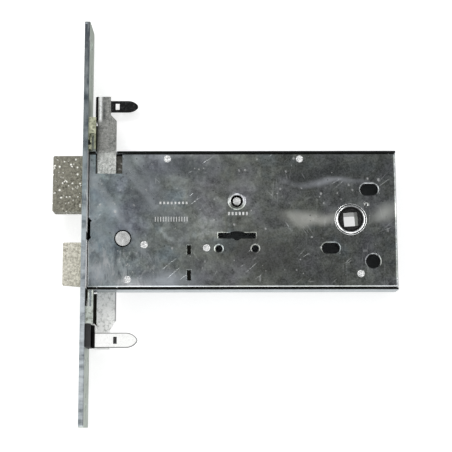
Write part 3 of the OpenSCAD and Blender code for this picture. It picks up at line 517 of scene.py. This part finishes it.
MATS = {
    "cover": cover_steel(),
    "tray": plated("tray_sheet", (0.30, 0.34, 0.36), (0.56, 0.60, 0.62), (0.28, 0.46), 40, case_shade_colour=(0.010, 0.010, 0.009)),
    "plate": zinc_plate(),
    "bracket": bracket_zinc(),
    "rivet": rivet_steel(),
    "tick": plated("tick_steel", (0.50, 0.51, 0.50), (0.80, 0.81, 0.80), (0.3, 0.45), 90, scratch=0.1, metallic=0.35, bump=0.1),
    # bush rings: the pale ones are painted highlights on the edges, the dark ones painted shade in the gaps
    "bush": turned("bush_steel", ((9.2, 10.5, (0.10, 0.105, 0.10), 0.0), (8.9, 9.3, (0.95, 0.96, 0.95), 0.0), (8.4, 8.95, (0.02, 0.02, 0.02), 0.8),
                                  (7.45, 8.4, (0.92, 0.93, 0.92), 0.0), (5.0, 7.45, (0.02, 0.02, 0.02), 0.85)), (0.30, 0.31, 0.30), (0.62, 0.63, 0.62)),
    "stud": plated("stud_steel", (0.05, 0.05, 0.05), (0.34, 0.35, 0.34), (0.2, 0.35), 500, bump=0.6, metallic=1.0),
    "pin": plated("pin_steel", (0.46, 0.47, 0.46), (0.86, 0.87, 0.86), (0.25, 0.45), 320, bump=0.7, speck=0.4, metallic=0.55),
    "pad": plated("pad_black", (0.008, 0.008, 0.008), (0.022, 0.022, 0.022), (0.6, 0.8), 120, scratch=0.05, metallic=0.0),
    "guide": plated("guide_plating", (0.16, 0.16, 0.15), (0.34, 0.34, 0.33), (0.35, 0.55), 120, case_shade_colour=(0.008, 0.008, 0.007), reach=0.0085),
    "spring": plated("spring_wire", (0.25, 0.26, 0.29), (0.5, 0.52, 0.55), (0.25, 0.4), 200),
    # the latch's casting is lighter than the bolt's: partly their own tones, partly painted light for the stronger
    # light lower down
    "bolt": cast("bolt_casting", (0.060, 0.056, 0.040), (0.30, 0.29, 0.235), (0.95, 0.94, 0.88), 1.0, 640, 0.4, size=(0.34, 0.22), keep=0.485),
    "latch": cast("latch_casting", (0.27, 0.25, 0.20), (0.76, 0.735, 0.64), (0.98, 0.96, 0.90), 0.7, 760, 0.3),
    "slide": slide_plating("slide_upper_plating", True),
    "slide_bright": slide_plating("slide_lower_plating", False),
    # hub: a near-black ring of painted shade on the front face round the square hole
    "hub": turned("hub_casting", ((4.35, 9.0, (0.016, 0.016, 0.016), 0.75),), (0.10, 0.10, 0.10), (0.34, 0.34, 0.33), 0.9, (0.22, 0.4), 7.0),
    "brass": plated("nut_brass", (0.50, 0.38, 0.16), (0.78, 0.62, 0.32), (0.25, 0.4), 60, (1, 1, 0.1)),
    "tail": plated("tail_plating", (0.26, 0.27, 0.26), (0.5, 0.51, 0.5), (0.35, 0.55), 120, case_shade_colour=(0.016, 0.016, 0.014)),
    "inner": plated("inner_steel", (0.16, 0.16, 0.15), (0.34, 0.34, 0.33), (0.35, 0.55), 120, case_shade_colour=(0.014, 0.014, 0.012)),
}
USE = {
    "face_plate": "plate", "case_tray": "tray", "case_cover": "cover", "upper_guide_bracket": "bracket", "lower_guide_bracket": "bracket",
    "face_plate_rivets": "pin", "spacer_pillars": "rivet", "stop_post": "pin", "lever_post": "pin", "lever_spring_post": "pin",
    "lever_springs": "spring", "hub_bush_front": "bush", "hub_bush_rear": "bush", "hub_spring_stud": "stud", "hub_spring": "spring",
    "latch_guide": "guide", "lower_guide_pad": "pad", "deadbolt_head": "bolt", "deadbolt_tail": "tail", "deadbolt_pins": "pin", "cam_studs": "pin", "bolt_stump": "pin",
    "upper_rod_slide": "slide", "lower_rod_slide": "slide_bright", "handle_hub": "hub", "latch_yoke": "tray", "latch_head": "latch",
    "latch_rod": "pin", "latch_cross_pin": "pin", "latch_nut": "brass", "latch_spring": "spring",
    "lever_1": "inner", "lever_2": "inner", "lever_3": "inner", "lever_4": "inner",
}
for name, key in USE.items():
    o = nodes[name]
    o.data.materials.clear()
    o.data.materials.append(MATS[key])

# ------------------------------------------------------------------ edges
# Weld the imported corners, join flat facets and break the sharp edges, so that they catch light
SOFT = {
    "case_cover": 0.28, "case_tray": 0.25, "face_plate": 0.3, "upper_guide_bracket": 0.2, "lower_guide_bracket": 0.2,
    "upper_rod_slide": 0.3, "lower_rod_slide": 0.3, "deadbolt_head": 0.25, "latch_head": 0.2, "handle_hub": 0.25,
    "hub_bush_front": 0.2, "hub_bush_rear": 0.2, "spacer_pillars": 0.15, "stop_post": 0.3, "lever_post": 0.3,
    "hub_spring_stud": 0.15, "face_plate_rivets": 0.2, "latch_yoke": 0.15, "latch_guide": 0.15,
}
for name, w in SOFT.items():
    o = nodes[name]
    weld = o.modifiers.new("weld", "WELD")
    weld.merge_threshold = 0.000002
    flat = o.modifiers.new("flat", "DECIMATE")
    flat.decimate_type = "DISSOLVE"
    flat.angle_limit = math.radians(0.5)
    bev = o.modifiers.new("edge", "BEVEL")
    bev.width = w * MM
    bev.segments = 2
    bev.limit_method = "ANGLE"
    bev.angle_limit = math.radians(38)
    bev.use_clamp_overlap = True
    bev.harden_normals = True
    bev.miter_outer = "MITER_ARC"

# ------------------------------------------------------------------ small pieces
def bars(name, boxes, body, mat, edge=0.0):
    """One mesh of plain blocks, each (x0, y0, z0, x1, y1, z1, lean) in mm."""
    me = bpy.data.meshes.new(name)
    bm = bmesh.new()
    for (x0, y0, z0, x1, y1, z1, lean) in boxes:
        made = bmesh.ops.create_cube(bm, size=1.0)["verts"]
        for v in made:
            hx, hy, hz = v.co.x + 0.5, v.co.y + 0.5, v.co.z + 0.5
            v.co = Vector((x0 + (x1 - x0) * hx + lean * hz, y0 + (y1 - y0) * hy, z0 + (z1 - z0) * hz)) * MM
    bmesh.ops.recalc_face_normals(bm, faces=bm.faces)
    bm.to_mesh(me)
    bm.free()
    o = bpy.data.objects.new(name, me)
    scene.collection.objects.link(o)
    me.materials.append(mat)
    if edge:
        b = o.modifiers.new("edge", "BEVEL")
        b.width = edge * MM
        b.segments = 2
    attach(o, body)
    return o


def marks():
    """Rows of equal stamped ticks on the cover, saying nothing."""
    y0, y1 = -7.86, -7.7
    out = [(45.0 + 2.2 * k, y0, 9.2, 46.1 + 2.2 * k, y1, 10.6, 0) for k in range(8)]
    out += [(42.4 + 1.55 * k, y0, -1.2, 42.85 + 1.55 * k, y1, 1.7, 0) for k in range(13)]
    out += [(85.2 + 2.1 * k, y0, 2.6, 86.3 + 2.1 * k, y1, 4.5, 0) for k in range(6)]
    return out


bars("stamp_marks", marks(), "case", MATS["tick"])
# a near-black sheet in the lower tongue's slot: painted shade where the slot looks into shadow
bars("lower_slot_shade", [(19.05, -9.2, -72.55, 21.05, -8.9, -68.55, 0)], "lower_rod", MATS["pad"])

# ------------------------------------------------------------------ stage and light
def paper():
    """White sheet the lock lies on; it is clear from behind so that the back can be seen."""
    me = bpy.data.meshes.new("paper")
    bm = bmesh.new()
    s, y = 3.0, 0.0131
    vs = [bm.verts.new(p) for p in ((-s, y, -s), (s, y, -s), (s, y, s), (-s, y, s))]
    f = bm.faces.new(vs)
    f.normal_update()
    if f.normal.y > 0:
        f.normal_flip()
    bm.to_mesh(me)
    bm.free()
    o = bpy.data.objects.new("paper", me)
    scene.collection.objects.link(o)
    m = bpy.data.materials.new("paper_white")
    m.use_nodes = True
    t = m.node_tree
    t.nodes.clear()
    g = t.nodes.new("ShaderNodeNewGeometry")
    d = t.nodes.new("ShaderNodeBsdfDiffuse")
    d.inputs[0].default_value = (0.5, 0.5, 0.5, 1)
    tr = t.nodes.new("ShaderNodeBsdfTransparent")
    em = t.nodes.new("ShaderNodeEmission")
    em.inputs[0].default_value = (1, 1, 1, 1)
    em.inputs[1].default_value = 0.67
    ad = t.nodes.new("ShaderNodeAddShader")
    t.links.new(d.outputs[0], ad.inputs[0])
    t.links.new(em.outputs[0], ad.inputs[1])
    mx = t.nodes.new("ShaderNodeMixShader")
    out = t.nodes.new("ShaderNodeOutputMaterial")
    t.links.new(g.outputs["Backfacing"], mx.inputs[0])
    t.links.new(ad.outputs[0], mx.inputs[1])
    t.links.new(tr.outputs[0], mx.inputs[2])
    t.links.new(mx.outputs[0], out.inputs[0])
    me.materials.append(m)
    o.visible_shadow = False
    o.visible_glossy = False
    o.visible_diffuse = False
    o.visible_transmission = False
    return o


paper()


def area(name, loc, target, size, power, colour=(1, 1, 1), size_y=None):
    d = bpy.data.lights.new(name, "AREA")
    d.shape = "RECTANGLE" if size_y else "SQUARE"
    d.size = size
    if size_y:
        d.size_y = size_y
    d.energy = power
    d.color = colour
    o = bpy.data.objects.new(name, d)
    scene.collection.objects.link(o)
    o.location = Vector(loc)
    o.rotation_mode = "QUATERNION"
    o.rotation_quaternion = (Vector(target) - Vector(loc)).to_track_quat("-Z", "Y")
    return o


C = (0.09, 0, 0)
for o, k in ((area("key", (-0.45, -1.0, 1.05), C, 0.5, 9), 0.25), (area("back", (0.2, 1.3, 0.7), C, 0.9, 8), 0.0)):
    o.data.specular_factor = k
    o.visible_glossy = k > 0

world = bpy.data.worlds.new("world")
scene.world = world
world.use_nodes = True
W = Tree.__new__(Tree)
W.t = world.node_tree
W.t.nodes.clear()
W.coord = W.new("ShaderNodeTexCoord").outputs["Generated"]


def glow(direction, inner, outer, power):
    """A soft round patch of light in the surroundings, angles in degrees."""
    n = W.new("ShaderNodeVectorMath")
    n.operation = "DOT_PRODUCT"
    W.put(n.inputs[0], W.coord)
    n.inputs[1].default_value = tuple(Vector(direction).normalized())
    return W.remap(n.outputs["Value"], math.cos(math.radians(outer)), math.cos(math.radians(inner)), 0.0, power, smooth=True)


def total(*vals):
    v = vals[0]
    for w in vals[1:]:
        v = W.math("ADD", v, w)
    return v


zz = W.axis("Z")
mirror = W.ramp(W.remap(zz, -1, 1), [(0.0, (0.95, 0.97, 0.98)), (0.15, (0.75, 0.77, 0.78)), (0.3, (0.42, 0.43, 0.43)), (0.5, (0.26, 0.265, 0.27)), (0.62, (0.25, 0.255, 0.26)), (0.78, (0.16, 0.165, 0.18)), (1.0, (0.34, 0.35, 0.37))])
strips = total(
    glow((-1, -0.42, 0.25), 14, 34, 2.6), glow((-1, -0.42, -0.45), 12, 30, 1.8),
    glow((1, -0.40, 0.30), 14, 34, 2.8), glow((1, -0.45, -0.45), 12, 30, 1.8),
    glow((0.1, -0.45, -1), 10, 30, 1.4), glow((-0.6, 0.8, -0.2), 10, 40, 0.5))
col = W.new("ShaderNodeCombineColor")
for k in (0, 1, 2):
    W.put(col.inputs[k], strips)
mirror = W.mix(1.0, mirror, col.outputs[0], "ADD")
# the white sheet around the lock, mirrored at grazing angles: brighter below than above
behind = W.ramp(W.remap(zz, -0.4, 0.6), [(0.0, (0.95, 0.96, 0.96)), (0.3, (0.90, 0.91, 0.91)), (0.39, (0.50, 0.52, 0.50)), (0.6, (0.42, 0.44, 0.41)), (1.0, (0.55, 0.56, 0.55))])
mirror = W.mix(W.remap(W.axis("Y"), 0.25, 0.75, smooth=True), mirror, behind)
lp = W.new("ShaderNodeLightPath")
seen = W.new("ShaderNodeBackground")
seen.inputs[0].default_value = (1, 1, 1, 1)
room = W.new("ShaderNodeBackground")
W.put(room.inputs[0], mirror)
sky = W.new("ShaderNodeBackground")
W.put(sky.inputs[0], W.ramp(W.remap(zz, -1, 1), [(0.0, 0.75), (0.5, 0.8), (1.0, 1.0)]))
m1 = W.new("ShaderNodeMixShader")
W.put(m1.inputs[0], lp.outputs["Is Glossy Ray"])
W.t.links.new(sky.outputs[0], m1.inputs[1])
W.t.links.new(room.outputs[0], m1.inputs[2])
m2 = W.new("ShaderNodeMixShader")
W.put(m2.inputs[0], lp.outputs["Is Camera Ray"])
W.t.links.new(m1.outputs[0], m2.inputs[1])
W.t.links.new(seen.outputs[0], m2.inputs[2])
out = W.new("ShaderNodeOutputWorld")
W.t.links.new(m2.outputs[0], out.inputs[0])

scene.view_settings.view_transform = "Standard"
scene.view_settings.look = "None"
scene.view_settings.exposure = 0.0
scene.view_settings.gamma = 1.0
